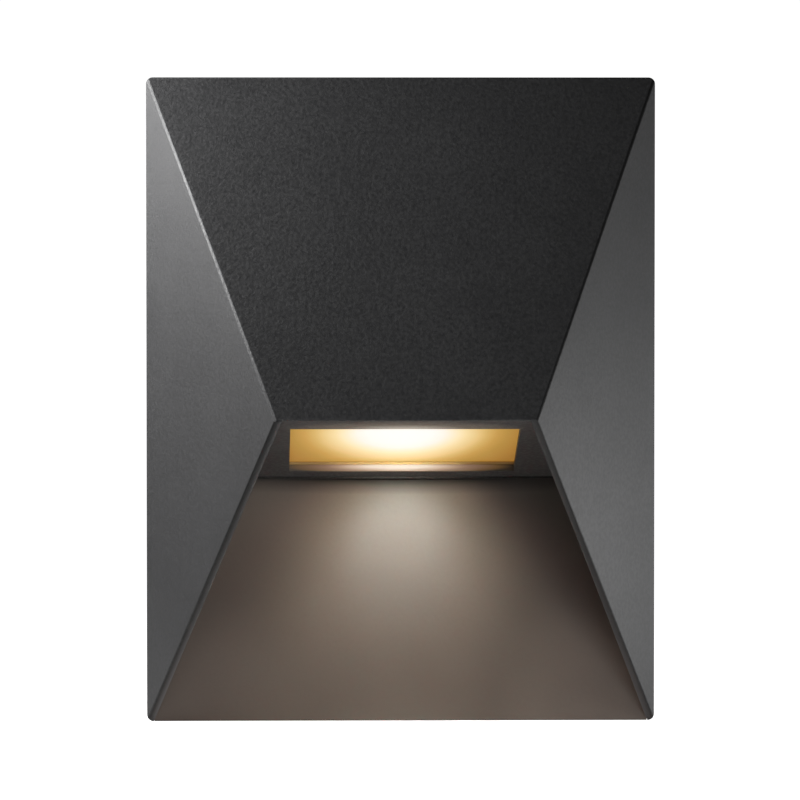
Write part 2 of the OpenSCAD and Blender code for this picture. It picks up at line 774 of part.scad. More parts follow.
module lamp_base() {
    color("#f1efe8") on_lamp_frame() difference() {
        union() {
            translate([0, 0, seat_gap]) linear_extrude(lamp_base_l - 2 - seat_gap)
                rounded_rect(2 * lamp_r - 1, lamp_r * 1.35, 2.5);
            translate([0, 0, lamp_base_l - 2]) cylinder(h = 2, r = lamp_r);
            translate([0, 0, lamp_base_l]) cylinder(h = 2, r = lamp_r - glass_wall - thread_gap);
        }
        translate([-led_w / 2 - 0.1, -led_board_t / 2 - 0.1, lamp_base_l - 1])
            cube([led_w + 0.2, led_board_t + 0.2, 4]);
        for (sx = [-1, 1], sy = [-1, 1])
            translate([sx * pin_spacing / 2, sy * pin_loop_r, seat_gap - cut])
                cylinder(h = 3 + cut, r = pin_wire_r + thread_gap);
    }
}

// A frosted capsule with a round tip, open where it sits on the base
module lamp_envelope() {
    straight = lamp_l - lamp_r - lamp_base_l;
    color("#fff2d0") on_lamp_frame() translate([0, 0, lamp_base_l]) rotate_extrude() difference() {
        union() {
            square([lamp_r, straight]);
            translate([0, straight]) intersection() {
                circle(lamp_r);
                square(lamp_r + cut);
            }
        }
        translate([-cut, -cut]) square([lamp_r - glass_wall + cut, straight + cut]);
        translate([0, straight]) circle(lamp_r - glass_wall);
        translate([-2 * lamp_r, -cut]) square([2 * lamp_r, lamp_l]);
    }
}

// Each pin is a loop of wire: two legs and a round end
module lamp_pins() {
    leg = pin_l - pin_loop_r - pin_wire_r;
    color("#c4c6c9") on_lamp_frame() for (sx = [-1, 1]) translate([sx * pin_spacing / 2, 0, 0]) {
        for (sy = [-1, 1]) translate([0, sy * pin_loop_r, -leg])
            cylinder(h = leg + seat_gap + 2.8, r = pin_wire_r, $fn = 24);
        translate([0, 0, -leg]) rotate([0, 90, 0]) rotate([0, 0, -90])
            rotate_extrude(angle = 180, $fn = 24) translate([pin_loop_r, 0]) circle(pin_wire_r, $fn = 24);
    }
}

module led_board() {
    color("#f4f4f0") on_lamp_frame() translate([-led_w / 2, -led_board_t / 2, lamp_base_l - 0.8])
        cube([led_w, led_board_t, led_board_l]);
}

// Two columns of chips on each face of the board
module led_chips() {
    rows = 4;
    color("#f5d76b") on_lamp_frame() for (face = [-1, 1], k = [0 : rows - 1], sx = [-1, 1])
        translate([sx * led_w / 4 - chip[0] / 2, face > 0 ? led_board_t / 2 : -led_board_t / 2 - chip[1],
            lamp_base_l + 3.6 + k * 4.4])
            cube(chip);
}

// Wires

function unit(v) = v / norm(v);
function bezier(a, b, c, d, t) =
    pow(1 - t, 3) * a + 3 * pow(1 - t, 2) * t * b + 3 * (1 - t) * t * t * c + pow(t, 3) * d;

// A round tube along a list of points that never runs straight out from the wall
module tube(points, r) {
    last = len(points) - 1;
    tangents = [for (i = [0 : last]) unit(points[min(i + 1, last)] - points[max(i - 1, 0)])];
    rings = [for (i = [0 : last])
        let (side = unit(cross(tangents[i], [0, 1, 0])), up = cross(side, tangents[i]))
            for (k = [0 : wire_sides - 1])
                points[i] + r * (cos(k * 360 / wire_sides) * side + sin(k * 360 / wire_sides) * up)];
    polyhedron(rings, concat(
        [[for (k = [wire_sides - 1 : -1 : 0]) k]],
        [for (i = [0 : last - 1], k = [0 : wire_sides - 1])
            let (a = i * wire_sides + k, b = i * wire_sides + (k + 1) % wire_sides)
                [a, b, b + wire_sides, a + wire_sides]],
        [[for (k = [0 : wire_sides - 1]) last * wire_sides + k]]
    ));
}

// A wire from a start point and direction down into one pole of the terminal block
module wire_to_pole(start, leaves, pole, reach) {
    top = block_z + block_h / 2;
    finish = [block_x + pole * pole_pitch, -clamp_depth, top - wire_entry];
    path = [for (i = [0 : wire_steps])
        bezier(start, start + reach * leaves, finish + [0, 0, reach], finish, i / wire_steps)];
    tube(path, wire_r);
    translate([finish[0], finish[1], block_z - clamp_l / 4 - 1])
        cylinder(h = finish[2] - block_z + clamp_l / 4 + 1 + 0.2, r = wire_bare_r, $fn = 24);
}

// Where a wire leaves the side of the lampholder
function holder_exit(off) =
    let (p = lamp_seat - holder_l / 2 * along_face - off * into_face) [holder_w / 2, -p[0], p[1]];

module live_wire() {
    color("#7a4a2c") wire_to_pole(holder_exit(-wire_off), [1, 0, 0], -1, live_reach);
}

module neutral_wire() {
    color("#3c63a8") wire_to_pole(holder_exit(wire_off), [1, 0, 0], 0, neutral_reach);
}

module earth_wire() {
    start = [earth_x, -lug_depth - lug_t / 2 - wire_r - 0.05, earth_z - earth_boss_r - 1];
    color("#8fae3a") wire_to_pole(start, [0, 0, -1], 1, earth_reach);
}

back_plate();
wall_gasket();
shell_seal();
cable_grommet();
terminal_block();
terminal_clamps();
terminal_screws();
terminal_block_screws();
earth_screw();
earth_washer();
earth_lug();
earth_wire();
lampholder_bracket();
bracket_screws();
lampholder();
holder_contacts();
holder_screws();
live_wire();
neutral_wire();
lamp_base();
lamp_envelope();
lamp_pins();
led_board();
led_chips();
housing_shell();
window_glass();
glass_seal();
glass_retainer();
reflector();
retainer_screws();
left_lock_screw();
right_lock_screw();
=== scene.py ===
# %% [markdown]
# # An outdoor wall light, dressed for the camera
#
# The wall light is a dark, roof-shaped casting. Its lower front is open, and a sloping window of satin
# glass throws warm light down the plate behind it. The construction comes packed from the CAD model.
# This lesson adds what a construction model leaves out: soft edges, powder coat, glass, glow and a studio.

# %% Load the fixed frame
import json
import math

import bmesh
import bpy
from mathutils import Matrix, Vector


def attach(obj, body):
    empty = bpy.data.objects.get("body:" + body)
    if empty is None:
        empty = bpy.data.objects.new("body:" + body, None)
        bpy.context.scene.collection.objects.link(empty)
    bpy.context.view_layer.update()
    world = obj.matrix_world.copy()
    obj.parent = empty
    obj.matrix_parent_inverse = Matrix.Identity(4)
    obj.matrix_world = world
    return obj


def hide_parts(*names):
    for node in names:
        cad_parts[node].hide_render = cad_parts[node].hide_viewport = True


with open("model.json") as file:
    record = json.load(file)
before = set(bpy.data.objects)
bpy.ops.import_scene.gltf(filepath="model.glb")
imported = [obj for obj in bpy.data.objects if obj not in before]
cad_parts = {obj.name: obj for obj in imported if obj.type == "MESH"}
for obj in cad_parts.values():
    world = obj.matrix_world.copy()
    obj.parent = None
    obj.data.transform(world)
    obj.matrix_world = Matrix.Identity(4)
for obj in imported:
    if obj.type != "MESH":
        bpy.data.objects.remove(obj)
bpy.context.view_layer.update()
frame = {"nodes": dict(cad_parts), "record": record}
nodes = frame["nodes"]

# %% [markdown]
# ## Sizes that the looks share with the construction
#
# Blender works in metres and the construction in millimetres, so one factor turns one into the other.
# The top face and the window panel both start at the ridge, which runs along X. A point on either is
# found by walking from the ridge along the slope, so patterns can be placed as a designer would say
# it: so many millimetres back from the ridge.

# %% Sizes and slopes
MM = 0.001
RIDGE_DEPTH, RIDGE_HEIGHT = 70, -3.4
HALF_WIDTH, HALF_HEIGHT, RIM_DEPTH, HALF_RIDGE = 75, 95, 8, 37.5
PANEL_ANGLE = math.radians(17.8)
face_angle = math.atan2(RIDGE_DEPTH - RIM_DEPTH, HALF_HEIGHT - RIDGE_HEIGHT)
ridge = Vector((0, -RIDGE_DEPTH * MM, RIDGE_HEIGHT * MM))
panel_back = Vector((0, math.cos(PANEL_ANGLE), -math.sin(PANEL_ANGLE)))
panel_down = Vector((0, -math.sin(PANEL_ANGLE), -math.cos(PANEL_ANGLE)))


def on_panel(back, below=0, x=0):
    """A point so many millimetres back from the ridge along the window panel, and below it."""
    return ridge + MM * (back * panel_back + below * panel_down) + Vector((x * MM, 0, 0))


print("top face leans", round(math.degrees(face_angle), 1), "degrees from the wall")

# %% [markdown]
# ## Small helpers
#
# A material here is a short list of shader nodes. The helper starts one with a Principled BSDF, sets
# the constants on the shader's own sockets, and adds the two things that most finishes need: a fine
# bump from noise, and a slow change of tone so that no surface is one flat colour.

# %% Start a material
def new_material(name, color, roughness, metallic=0.0, **sockets):
    """A material with one Principled BSDF, and its tree and shader for further wiring."""
    mat = bpy.data.materials.new(name)
    mat.use_nodes = True
    tree = mat.node_tree
    shader = tree.nodes["Principled BSDF"]
    shader.inputs["Base Color"].default_value = (*color, 1)
    shader.inputs["Roughness"].default_value = roughness
    shader.inputs["Metallic"].default_value = metallic
    for socket, value in sockets.items():
        shader.inputs[socket.replace("_", " ")].default_value = value
    return mat, tree, shader


def add_node(tree, kind, **values):
    """A node whose sockets and properties are set by their names."""
    node = tree.nodes.new(kind)
    for key, value in values.items():
        if key in node.inputs:
            node.inputs[key].default_value = value
        else:
            setattr(node, key, value)
    return node


def finish(piece, mat):
    """Gives a piece or a CAD node one material."""
    piece.data.materials.clear()
    piece.data.materials.append(mat)


# %% Noise, tone and bump
def object_noise(tree, scale, detail=3.0):
    """Noise on object coordinates, its scale in cells per metre."""
    place = add_node(tree, "ShaderNodeTexCoord")
    noise = add_node(tree, "ShaderNodeTexNoise", Scale=scale, Detail=detail, Roughness=0.5)
    tree.links.new(place.outputs["Object"], noise.inputs["Vector"])
    return noise.outputs["Fac"]


def spread(tree, value, low, high, start=0.35, end=0.65):
    """Maps a texture's middle range to a range of values."""
    node = add_node(tree, "ShaderNodeMapRange")
    for key, number in (("From Min", start), ("From Max", end), ("To Min", low), ("To Max", high)):
        node.inputs[key].default_value = number
    tree.links.new(value, node.inputs["Value"])
    return node.outputs["Result"]


def mix_by(tree, factor, kind):
    """A mix node for colours or for values: its two inputs and its output."""
    node = add_node(tree, "ShaderNodeMix", data_type="RGBA" if kind == "RGBA" else "FLOAT")
    tree.links.new(factor, node.inputs["Factor"])
    first, second = [s for s in node.inputs if s.type == kind and s.name in ("A", "B")]
    return first, second, [s for s in node.outputs if s.type == kind][0]


def tone(tree, shader, value, dark, light):
    """Colours the surface between two tones by a texture."""
    first, second, mixed = mix_by(tree, value, "RGBA")
    first.default_value, second.default_value = (*dark, 1), (*light, 1)
    tree.links.new(mixed, shader.inputs["Base Color"])


def bump(tree, shader, height, distance):
    """Roughens the surface by a texture, its height in metres."""
    node = add_node(tree, "ShaderNodeBump", Strength=1.0, Distance=distance)
    tree.links.new(height, node.inputs["Height"])
    tree.links.new(node.outputs["Normal"], shader.inputs["Normal"])


# %% [markdown]
# ## Powder coat
#
# The casting is sprayed with a fine textured powder and baked. Up close it is a carpet of rounded
# grains, about a millimetre across, that break a reflection into a soft sheen. Noise at that scale
# drives the bump and a little of the roughness, and a slower noise shifts the grey.

# %% Two powder coats
DRIFT = 45


def powder_coat(name, dark, light, grain, height, roughness, sheen=0.5):
    """Paint between two tones: half its mottling comes from the grains and half from a slow drift."""
    mat, tree, shader = new_material(name, light, roughness, Specular_IOR_Level=sheen)
    grains = object_noise(tree, grain, detail=2.0)
    drift = object_noise(tree, DRIFT, detail=2.0)
    mottled = add_node(tree, "ShaderNodeMath", operation="MULTIPLY_ADD")
    mottled.inputs[1].default_value = 0.5
    tree.links.new(grains, mottled.inputs[0])
    half = add_node(tree, "ShaderNodeMath", operation="MULTIPLY")
    half.inputs[1].default_value = 0.5
    tree.links.new(drift, half.inputs[0])
    tree.links.new(half.outputs[0], mottled.inputs[2])
    tone(tree, shader, spread(tree, mottled.outputs[0], 0, 1, 0.38, 0.62), dark, light)
    tree.links.new(spread(tree, grains, roughness - 0.05, roughness + 0.08), shader.inputs["Roughness"])
    bump(tree, shader, grains, height)
    return mat


housing_paint = powder_coat(
    "textured_powder_coat", (0.027, 0.027, 0.028), (0.035, 0.035, 0.036), 950, 0.000035, 0.5
)
plate_paint = powder_coat(
    "plate_powder_coat", (0.052, 0.0434, 0.0362), (0.058, 0.0489, 0.041), 900, 0.00002, 0.5, 0.3
)
print("powder coats:", housing_paint.name, plate_paint.name)

# %% [markdown]
# ## Lamp light on the window's borders
#
# The lamp stands close behind the panel, and some of its light creeps out under the pane and lies on
# the paint at the window's rear and front edges. Tracing that light through satin glass would take far
# more samples than a picture here has, so it is painted instead: the paint glows by the distance from
# a point, and a squashed ball gives that distance its own reach in each direction.

# %% Light on the borders
def spill(tree, at, reach, steps, tilt=-PANEL_ANGLE):
    """A colour ramp over the radius of a squashed ball, its reach given in millimetres."""
    place = add_node(tree, "ShaderNodeTexCoord")
    local = add_node(tree, "ShaderNodeMapping", vector_type="TEXTURE")
    local.inputs["Location"].default_value = at
    local.inputs["Rotation"].default_value = (tilt, 0, 0)
    local.inputs["Scale"].default_value = tuple(r * MM for r in reach)
    tree.links.new(place.outputs["Object"], local.inputs["Vector"])
    length = add_node(tree, "ShaderNodeVectorMath", operation="LENGTH")
    tree.links.new(local.outputs["Vector"], length.inputs[0])
    ramp = add_node(tree, "ShaderNodeValToRGB")
    tree.links.new(length.outputs["Value"], ramp.inputs["Fac"])
    elements = ramp.color_ramp.elements
    while len(elements) < len(steps):
        elements.new(0.5)
    for element, (position, color) in zip(elements, steps):
        element.position, element.color = position, (*color, 1)
    return ramp.outputs["Color"]


REAR_EDGE, REAR_LIFT, REAR_SIDE, FRONT_EDGE = 56.6, 1.4, -1.2, 9.6
REAR_REACH, FRONT_REACH = (34, 1.0, 2.2), (36, 9, 1.5)
casting = housing_paint.node_tree
rear = spill(casting, on_panel(REAR_EDGE, -REAR_LIFT, REAR_SIDE), REAR_REACH, (
    (0.0, (0.72, 0.62, 0.50)), (0.26, (0.66, 0.54, 0.43)), (0.35, (0.54, 0.39, 0.29)),
    (0.52, (0.31, 0.19, 0.12)), (0.61, (0.20, 0.11, 0.07)), (0.87, (0.08, 0.04, 0.01)), (1.0, (0, 0, 0)),
))
front = spill(casting, on_panel(FRONT_EDGE), FRONT_REACH, (
    (0.0, (0.45, 0.40, 0.34)), (0.5, (0.09, 0.07, 0.05)), (1.0, (0, 0, 0)),
))
both = add_node(casting, "ShaderNodeVectorMath", operation="ADD")
casting.links.new(rear, both.inputs[0])
casting.links.new(front, both.inputs[1])
shader = casting.nodes["Principled BSDF"]
casting.links.new(both.outputs["Vector"], shader.inputs["Emission Color"])
shader.inputs["Emission Strength"].default_value = 1.0
print("light on the borders reaches", REAR_REACH[0], "and", FRONT_REACH[0], "mm to each side")

# %% [markdown]
# ## Lines and tones on the casting
#
# Narrow lines give the casting its drawing. A painted shade darkens the end face of each side wall.
# The left crease gets a painted highlight, strongest near the ridge, and the right crease a painted
# shade. A line could be a strip of its own mesh, but it would then lie on the paint. Each one is where
# two planes meet, so the distances behind those planes find it, and it stays part of the paint.

# %% The planes of the faces
side_angle = math.atan2(HALF_WIDTH - HALF_RIDGE, RIDGE_DEPTH - RIM_DEPTH)
TOP = Vector((0, -math.cos(face_angle), math.sin(face_angle)))
LEFT = Vector((-math.cos(side_angle), -math.sin(side_angle), 0))
RIGHT = Vector((math.cos(side_angle), -math.sin(side_angle), 0))
LIP = Vector((0, RIDGE_HEIGHT + HALF_HEIGHT, RIDGE_DEPTH - RIM_DEPTH)).normalized() * -1
ridge_left = ridge - Vector((HALF_RIDGE * MM, 0, 0))
ridge_right = ridge + Vector((HALF_RIDGE * MM, 0, 0))
print("side faces lean", round(math.degrees(side_angle), 1), "degrees from the line of sight")


# %% Masks by distance, and paint over them
def near_plane(tree, point, normal, start, end):
    """Runs from 0 to 1 between two distances, in millimetres, from a plane through a point."""
    away = add_node(tree, "ShaderNodeVectorMath", operation="SUBTRACT")
    away.inputs[1].default_value = point
    tree.links.new(add_node(tree, "ShaderNodeTexCoord").outputs["Object"], away.inputs[0])
    dot = add_node(tree, "ShaderNodeVectorMath", operation="DOT_PRODUCT")
    dot.inputs[1].default_value = normal
    tree.links.new(away.outputs[0], dot.inputs[0])
    return spread(tree, dot.outputs["Value"], 0, 1, start * MM, end * MM)


def product(tree, values):
    """One mask where several masks overlap."""
    result = values[0]
    for value in values[1:]:
        node = add_node(tree, "ShaderNodeMath", operation="MULTIPLY")
        tree.links.new(result, node.inputs[0])
        tree.links.new(value, node.inputs[1])
        result = node.outputs[0]
    return result


def paint_over(tree, mask, color, sheen):
    """Mixes a colour and a weaker sheen into the paint by a mask."""
    shader = tree.nodes["Principled BSDF"]
    for socket, kind, above in (("Base Color", "RGBA", (*color, 1)), ("Specular IOR Level", "VALUE", sheen)):
        target = shader.inputs[socket]
        first, second, mixed = mix_by(tree, mask, kind)
        first.default_value, second.default_value = target.default_value, above
        if target.is_linked:
            tree.links.new(target.links[0].from_socket, first)
        tree.links.new(mixed, target)


# %% [markdown]
# The top face looks coarser and more mottled than the sides, and a painted shade darkens it
# towards the right. A second material would leave a seam at the creases, so the same paint changes
# behind a soft mask. This comes before the lines, so that the mottling doesn't break them.

# %% Tones of the top face
TOP_SKIN, SHADE_TO_RIGHT = (-0.8, -0.3), (15, 190)
FINE_GRAIN, COARSE_GRAIN, SPECKLES = 0.000035, 0.00014, 900
top_face = near_plane(casting, ridge, TOP, *TOP_SKIN)
speckle = spread(casting, object_noise(casting, SPECKLES, detail=1.0), 0, 1, 0.38, 0.8)
paint_over(casting, product(casting, [top_face, speckle]), (0.02, 0.02, 0.021), 0.37)
# Painted shade: the top face grows darker towards the right.
right_shade = near_plane(casting, ridge, Vector((1, 0, 0)), *SHADE_TO_RIGHT)
paint_over(casting, product(casting, [top_face, right_shade]), (0.008, 0.008, 0.008), 0.15)
coarse = spread(casting, top_face, FINE_GRAIN, COARSE_GRAIN, 0, 1)
casting.links.new(coarse, casting.nodes["Bump"].inputs["Distance"])
print("grain:", round(FINE_GRAIN / MM, 3), "mm high, and", round(COARSE_GRAIN / MM, 3), "on the top face")

# %% Lines on the ends and creases
# Painted shade on the wall ends and the right crease, and a painted highlight along the left crease.
PAINTED_END_SHADE, PAINTED_CREASE_SHADE = (0.01,) * 3, (0.006,) * 3
PAINTED_CREASE_HIGHLIGHT, PAINTED_LOW_CREASE_HIGHLIGHT = (0.05, 0.05, 0.051), (0.11, 0.11, 0.112)
EDGE, CREASE, LOW_PART = (-0.5, -0.2), (-0.55, -0.3), (45, 18)
LEFT_END, RIGHT_END = (-1.5, -0.5), (-2.0, -0.1)
lines = (
    (PAINTED_END_SHADE, 0.25, ridge_left, ((LIP, EDGE), (LEFT, LEFT_END))),
    (PAINTED_END_SHADE, 0.35, ridge_right, ((LIP, EDGE), (RIGHT, RIGHT_END))),
    (PAINTED_CREASE_HIGHLIGHT, 0.5, ridge_left, ((TOP, CREASE), (LEFT, CREASE))),
    (PAINTED_LOW_CREASE_HIGHLIGHT, 0.6, ridge_left, ((TOP, CREASE), (LEFT, CREASE), (Vector((0, 0, 1)), LOW_PART))),
    (PAINTED_CREASE_SHADE, 0.3, ridge_right, ((TOP, CREASE), (RIGHT, CREASE))),
)
for color, sheen, corner, planes in lines:
    masks = [near_plane(casting, corner, normal, *span) for normal, span in planes]
    paint_over(casting, product(casting, masks), color, sheen)
print("lines on the casting:", len(lines))

# %% [markdown]
# The plate runs up behind the seal and the window panel, where neither lamp nor daylight gets in, and a
# soft dark band marks the place. It is as wide as the plate and ends softly a few millimetres below.

# %% The shade under the seal
SEAL_LINE, SHADE_REACH, PLATE_FRONT = -22.6, (80, 1.2, 5.5), 8
shade = spill(plate_paint.node_tree, (0, -PLATE_FRONT * MM, SEAL_LINE * MM), SHADE_REACH, [
    (at, (depth,) * 3)
    for at, depth in ((0.0, 1), (0.27, 0.94), (0.38, 0.82), (0.485, 0.62), (0.7, 0.34), (1.0, 0))
], tilt=0.0)
paint_over(plate_paint.node_tree, shade, (0.006, 0.005, 0.0043), 0.1)
print("shade ends", SHADE_REACH[2], "mm below", SEAL_LINE, "mm")

# %% [markdown]
# ## The housing
#
# The real housing is a die casting, and no cast and coated edge is sharp: the long creases between
# the faces have a radius near a millimetre that catches the light as a thin line. The CAD shape is
# right but its creases are sharp, so a copy is cleaned and its edges are rounded. The copy starts as
# loose triangles, so these are merged and the flat ones dissolved into whole faces first. Only then
# does an edge know its two faces, and the angle between them says whether it is rounded.

# %% Clean copies
SAME_POINT, ON_PLANE, FLAT = 1e-6, 2e-5, 0.3


def clean_copy(node):
    """A CAD node's faces as a bmesh, merged from loose triangles into whole flat faces."""
    mesh = bmesh.new()
    mesh.from_mesh(nodes[node].data)
    bmesh.ops.remove_doubles(mesh, verts=mesh.verts, dist=SAME_POINT)
    bmesh.ops.dissolve_limit(
        mesh, angle_limit=math.radians(FLAT), verts=mesh.verts, edges=mesh.edges,
        use_dissolve_boundaries=False,
    )
    whole = [f for f in mesh.faces if len(f.verts) > 4]
    bmesh.ops.triangulate(mesh, faces=whole, quad_method="BEAUTY", ngon_method="BEAUTY")
    mesh.normal_update()
    return mesh


# %% Rounded edges
def sharp_edges(mesh, keep, least=15.0):
    """The convex edges over an angle that a test picks."""
    return [
        e for e in mesh.edges
        if len(e.link_faces) == 2 and e.calc_face_angle_signed(0) > math.radians(least) and keep(e)
    ]


def round_off(mesh, edges, offset, segments, clamp=True):
    """Rounds edges and shades the new faces smooth."""
    made = bmesh.ops.bevel(
        mesh, geom=edges, offset=offset, segments=segments, profile=0.5, affect="EDGES",
        clamp_overlap=clamp,
    )
    for face in made["faces"]:
        face.smooth = True
    mesh.normal_update()
    return len(edges)


# %% Turn a mesh into a piece
def piece_from(mesh, name, mat, body, node):
    """Turns a bmesh into a finished piece that rides on its body in the place of a node."""
    data = bpy.data.meshes.new(name)
    mesh.to_mesh(data)
    mesh.free()
    piece = bpy.data.objects.new(name, data)
    bpy.context.scene.collection.objects.link(piece)
    finish(piece, mat)
    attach(piece, body)
    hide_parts(node)
    return piece


# %% [markdown]
# ## The housing's edges
#
# A bevel on the long outer creases would fold over where three of them meet. Filing them works better:
# a few planes that touch one cylinder shave each crease, each a little further round, and the cuts are
# filled. The edges of the window and the inner edges of the walls meet nothing, and take a bevel.

# %% Shave a long edge
def shave(mesh, point, first, second, radius, cuts=5):
    """Rounds an outer edge by planes that touch a cylinder along it."""
    axis = point - radius * (first + second) / (1 + first.dot(second))
    touching = []
    for k in range(cuts):
        normal = first.slerp(second, (k + 0.5) / cuts)
        touching.append((normal, axis + radius * normal))
        bmesh.ops.bisect_plane(
            mesh, geom=mesh.verts[:] + mesh.edges[:] + mesh.faces[:], dist=1e-7,
            plane_co=axis + radius * normal, plane_no=normal, clear_outer=True,
        )
        bmesh.ops.edgeloop_fill(mesh, edges=[e for e in mesh.edges if e.is_boundary])
    mesh.normal_update()
    for face in mesh.faces:
        for normal, at in touching:
            level = abs((face.calc_center_median() - at).dot(normal)) < SAME_POINT
            if level and face.normal.dot(normal) > 0.99999:
                face.smooth = True


# %% Round the outer edges
rim_right = MM * Vector((HALF_WIDTH, -RIM_DEPTH, HALF_HEIGHT))
rim_left = MM * Vector((-HALF_WIDTH, -RIM_DEPTH, HALF_HEIGHT))
UP = Vector((0, 0, 1))
outer_edges = (
    ("left crease", ridge_left, TOP, LEFT, 1.1), ("right crease", ridge_right, TOP, RIGHT, 1.1),
    ("ridge", ridge, TOP, LIP, 1.2),
    ("left wall", ridge_left, LEFT, LIP, 0.45), ("right wall", ridge_right, RIGHT, LIP, 0.45),
    ("top rim", rim_right, UP, TOP, 0.9),
    ("left rim", rim_left, Vector((-1, 0, 0)), LEFT, 0.9),
    ("right rim", rim_right, Vector((1, 0, 0)), RIGHT, 0.9),
)
housing_mesh = clean_copy("housing_shell")
print("housing before:", round(housing_mesh.calc_volume() * 1e9, 1), "mm3")
for name, at, first, second, radius in outer_edges:
    shave(housing_mesh, at, first, second, radius * MM)
    print(name, round(housing_mesh.calc_volume() * 1e9, 1), "mm3")

# %% Round the window and the inner edges
WINDOW_RADIUS, INNER_RADIUS = 0.35, 0.9
LONG_SIDE, WALL_LENGTH, WALL_PLACE = 40, 30, 30


def round_the_window(edge):
    """The edges where the window's cut-out meets the panel's underside."""
    level = all(abs((v.co - ridge).dot(panel_down)) < ON_PLANE for v in edge.verts)
    return level and edge.calc_length() > LONG_SIDE * MM


def inside_the_lip(edge):
    """The long inner edges of the two side walls, where they end in the plane of the lip."""
    start, end = (v.co for v in edge.verts)
    return abs(start.z - end.z) > WALL_LENGTH * MM and all(
        abs((v.co - ridge).dot(LIP)) < ON_PLANE and abs(v.co.x) > WALL_PLACE * MM for v in edge.verts
    )


inner = [e for e in sharp_edges(housing_mesh, inside_the_lip) if not any(f.smooth for f in e.link_faces)]
round_off(housing_mesh, inner, INNER_RADIUS * MM, 3, clamp=False)
print("inner wall edges:", len(inner), "housing:", round(housing_mesh.calc_volume() * 1e9, 1), "mm3")
window = round_off(housing_mesh, sharp_edges(housing_mesh, round_the_window), WINDOW_RADIUS * MM, 3)
housing = piece_from(
    housing_mesh, "cast_housing", housing_paint, "housing", "housing_shell"
)
print("window edges rounded:", window, "faces:", len(housing.data.polygons))

# %% [markdown]
# ## Satin glass
#
# The window is a flat pane, etched on the inside. The lamp stands just behind its front half, so the
# pane shows a round white core that turns yellow and then amber towards the ends. The core is painted
# as light, by the distance from the lamp's place on the pane: that is what the etched face does.

# %% The glowing pane
LAMP_BACK, LAMP_SIDE = 25.4, -1
GLOW_REACH, STRETCH, PANE_RADIUS = 40, 1.27, 0.4


def glow_glass():
    """Glass that is white before the lamp and turns amber with the distance from it."""
    mat, tree, shader = new_material(
        "satin_glass", (0.12, 0.09, 0.05), 0.35, Specular_IOR_Level=0.5, Emission_Strength=1.0
    )
    core = spill(tree, on_panel(LAMP_BACK, 0, LAMP_SIDE), (GLOW_REACH, GLOW_REACH * STRETCH, GLOW_REACH), (
        (0.00, (0.95, 0.93, 0.90)), (0.25, (0.93, 0.91, 0.88)), (0.33, (0.93, 0.86, 0.76)),
        (0.40, (0.93, 0.79, 0.56)), (0.48, (0.87, 0.67, 0.35)), (0.57, (0.73, 0.51, 0.20)),
        (0.63, (0.61, 0.39, 0.11)), (0.70, (0.51, 0.285, 0.055)), (0.78, (0.41, 0.225, 0.035)),
        (0.91, (0.35, 0.165, 0.022)), (1.00, (0.29, 0.13, 0.015)),
    ))
    tree.links.new(core, shader.inputs["Emission Color"])
    bump(tree, shader, object_noise(tree, 2500), 0.00002)
    return mat


satin_glass = glow_glass()
glass_mesh = clean_copy("window_glass")
round_off(glass_mesh, sharp_edges(glass_mesh, lambda edge: True), PANE_RADIUS * MM, 2)
glass = piece_from(glass_mesh, "satin_pane", satin_glass, "housing", "window_glass")
print("pane:", [round(v / MM, 1) for v in glass.dimensions])

# %% [markdown]
# ## The plate and everything that it carries
#
# Behind the housing are seals, a lampholder, a terminal block and wires. Each gets the finish that such
# a piece has, by the material slot that the construction gives it. Ceramic, rubber, plated steel and
# cable sleeves differ in colour, gloss and grain but not in kind, so one function makes them all, and
# the table below reads like a list of finishes on a drawing.

# %% Finishes for the working parts
def plain(name, color, roughness, grain=900, height=0.00003, metallic=0.0, shift=0.85, **sockets):
    """A finish with a fine bump and a slow change of tone."""
    mat, tree, shader = new_material(name, color, roughness, metallic, **sockets)
    drift = object_noise(tree, 120, detail=4.0)
    tone(tree, shader, spread(tree, drift, 0, 1), tuple(c * shift for c in color), color)
    fine = object_noise(tree, grain, detail=2.0)
    tree.links.new(spread(tree, fine, roughness * 0.85, roughness * 1.15), shader.inputs["Roughness"])
    bump(tree, shader, fine, height)
    return mat


finishes = {
    "foam": plain("closed_cell_foam", (0.02, 0.02, 0.02), 0.9, 2500, 0.0002),
    "silicone_black": plain("black_silicone", (0.008, 0.0078, 0.0075), 0.8, Specular_IOR_Level=0.3),
    "silicone_clear": plain(
        "milky_silicone", (0.38, 0.28, 0.13), 0.8, height=0.0, shift=1.0, Specular_IOR_Level=0.1
    ),
    "polyamide": plain("natural_polyamide", (0.74, 0.72, 0.66), 0.45, 1200),
    "steatite": plain("steatite", (0.8, 0.77, 0.69), 0.5, 1600, 0.00006),
    "lamp_plastic": plain("white_lamp_plastic", (0.8, 0.79, 0.75), 0.25),
    "board_white": plain("white_solder_mask", (0.8, 0.8, 0.77), 0.35),
    "chip_phosphor": plain("phosphor_resin", (0.85, 0.62, 0.12), 0.4),
    "brass": plain("plain_brass", (0.72, 0.5, 0.2), 0.32, metallic=1.0),
    "zinc_steel": plain("zinc_plated_steel", (0.6, 0.61, 0.63), 0.3, metallic=1.0),
    "black_steel": plain("black_oxide_steel", (0.05, 0.05, 0.052), 0.4, metallic=1.0),
    "sheet_aluminium": plain("mill_aluminium", (0.68, 0.69, 0.7), 0.35, metallic=1.0),
    "bright_aluminium": plain("bright_aluminium", (0.85, 0.85, 0.85), 0.18, metallic=1.0),
    "sleeve_live": plain("brown_insulation", (0.16, 0.06, 0.025), 0.4),
    "sleeve_neutral": plain("blue_insulation", (0.03, 0.11, 0.42), 0.4),
    "sleeve_earth": plain("green_yellow_insulation", (0.2, 0.4, 0.03), 0.4),
    "plate_paint": plate_paint,
}

